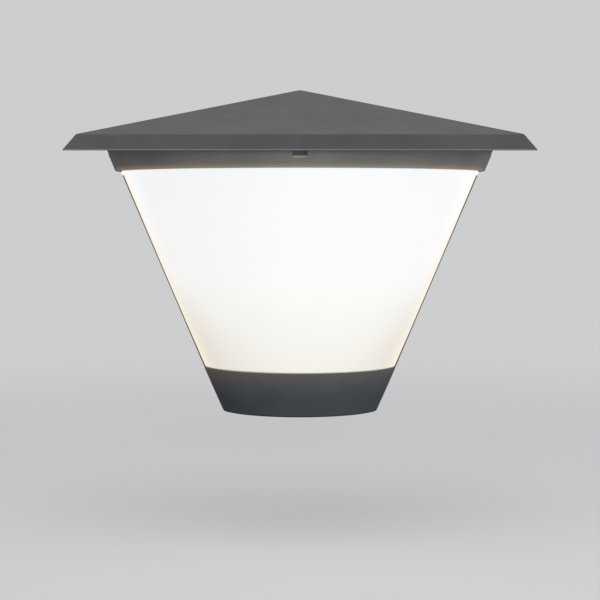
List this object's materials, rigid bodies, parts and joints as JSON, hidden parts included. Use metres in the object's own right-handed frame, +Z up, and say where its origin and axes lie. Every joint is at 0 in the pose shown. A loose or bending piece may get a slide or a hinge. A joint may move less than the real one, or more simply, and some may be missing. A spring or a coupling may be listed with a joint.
{
  "type": "outdoor wall light",
  "caption": "Wall light with a wide hipped roof, a lit opal half-cone front between a dark collar and cup, and a back plate that screws to a wall; the roof and the front lift off.",
  "frame": {"origin": "middle of the four wall-fixing holes, in the plane of the wall", "axes": "+Y into the wall, +X to the right as seen from the front, +Z up"},
  "size_m": [0.281, 0.143, 0.2152],
  "materials": {
    "powder_coat": "anthracite fine-texture powder coat on cast aluminium",
    "opal": "opal acrylic, lit from behind",
    "white_paint": "matt white paint on sheet steel",
    "silicone": "translucent white silicone",
    "black_rubber": "black rubber and foam",
    "screw_steel": "stainless steel",
    "spring_steel": "stainless spring strip",
    "brass": "plain brass",
    "nylon": "natural nylon",
    "board_white": "white solder mask on an aluminium board",
    "chip_yellow": "phosphor under clear resin",
    "driver_case": "white moulded case",
    "lead_brown": "brown insulation",
    "lead_blue": "blue insulation",
    "lead_green": "green and yellow insulation",
    "lead_red": "red insulation",
    "lead_black": "black insulation"
  },
  "bodies": {
    "housing": {"rear_housing": "powder_coat", "wall_gasket": "black_rubber", "fixing_seals": "black_rubber", "cable_grommet": "black_rubber", "cable_clamp": "nylon", "cable_clamp_screws": "screw_steel", "terminal_block": "nylon", "terminal_screws": "brass", "terminal_fixings": "screw_steel", "earth_tag": "brass", "earth_washer": "brass", "earth_screw": "screw_steel", "collar": "powder_coat", "collar_screws": "screw_steel", "bottom_cup": "powder_coat", "cup_screws": "screw_steel", "cup_cover": "white_paint", "cup_cover_screws": "screw_steel", "led_driver": "driver_case", "driver_screws": "screw_steel", "gear_tray": "white_paint", "tray_screws": "screw_steel", "led_board": "board_white", "led_chips": "chip_yellow", "board_screws": "screw_steel", "board_plug": "nylon", "side_seals": "silicone", "lower_seal": "silicone", "roof_clip_left": "spring_steel", "roof_clip_right": "spring_steel", "clip_screws": "screw_steel", "lead_live": "lead_brown", "lead_neutral": "lead_blue", "lead_earth": "lead_green", "lead_led_plus": "lead_red", "lead_led_minus": "lead_black"},
    "roof": {"roof_cap": "powder_coat", "roof_soffit": "powder_coat", "top_reflector": "white_paint", "soffit_screws": "screw_steel", "roof_catches": "spring_steel", "catch_screws": "screw_steel", "upper_seal": "silicone"},
    "shade": {"diffuser": "opal"}
  },
  "joints": [
    {"name": "roof_lift", "type": "slide", "parent": "housing", "child": "roof", "axis": [0, 0, 1], "range_m": [0, 0.25], "deforming": ["roof_clip_left", "roof_clip_right"]},
    {"name": "shade_lift", "type": "slide", "parent": "housing", "child": "shade", "axis": [0, 0, 1], "range_m": [0, 0.15]}
  ],
  "couplings": [
    {"joint": "shade_lift", "follows": "roof_lift", "ratio": 0.6}
  ]
}
